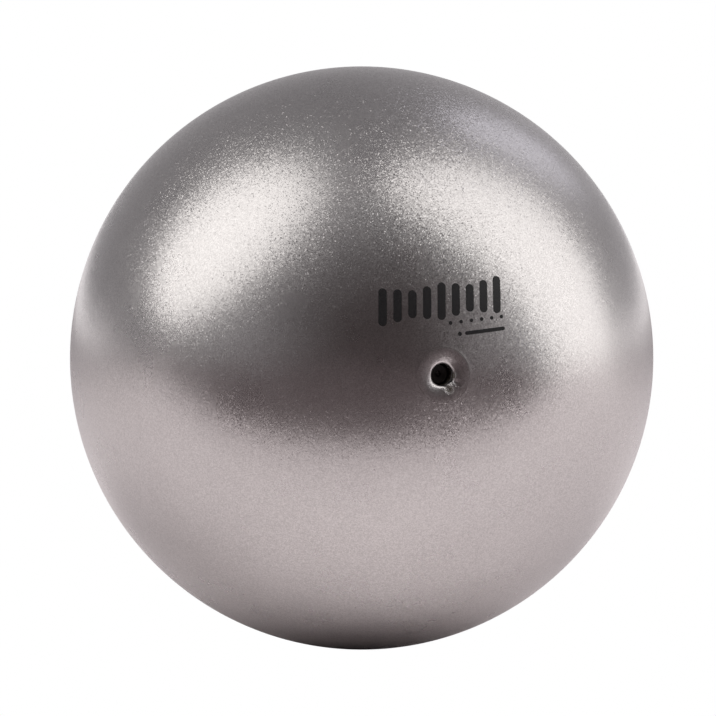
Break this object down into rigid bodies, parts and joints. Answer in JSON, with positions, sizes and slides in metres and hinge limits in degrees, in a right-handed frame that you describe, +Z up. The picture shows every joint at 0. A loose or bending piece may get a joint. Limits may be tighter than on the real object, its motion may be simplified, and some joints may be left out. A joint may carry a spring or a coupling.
{
  "type": "exercise ball",
  "caption": "Small inflatable exercise ball in a silver coat, with a recessed rubber valve grommet and a push-in plug.",
  "frame": {"origin": "centre of the ball", "axes": "-Y along the valve axis, out of the valve; +Z up"},
  "size_m": [0.16, 0.1597, 0.16],
  "materials": {
    "silver_coat": "satin",
    "worn_coat": "satin",
    "black_rubber": "matte"
  },
  "bodies": {
    "ball": {"ball_shell": "silver_coat", "valve_grommet": "worn_coat"},
    "plug": {"valve_plug": "black_rubber"}
  },
  "joints": [
    {"name": "plug_pull", "type": "slide", "parent": "ball", "child": "plug", "axis": [0, -1, 0], "range_m": [0, 0.03]}
  ]
}
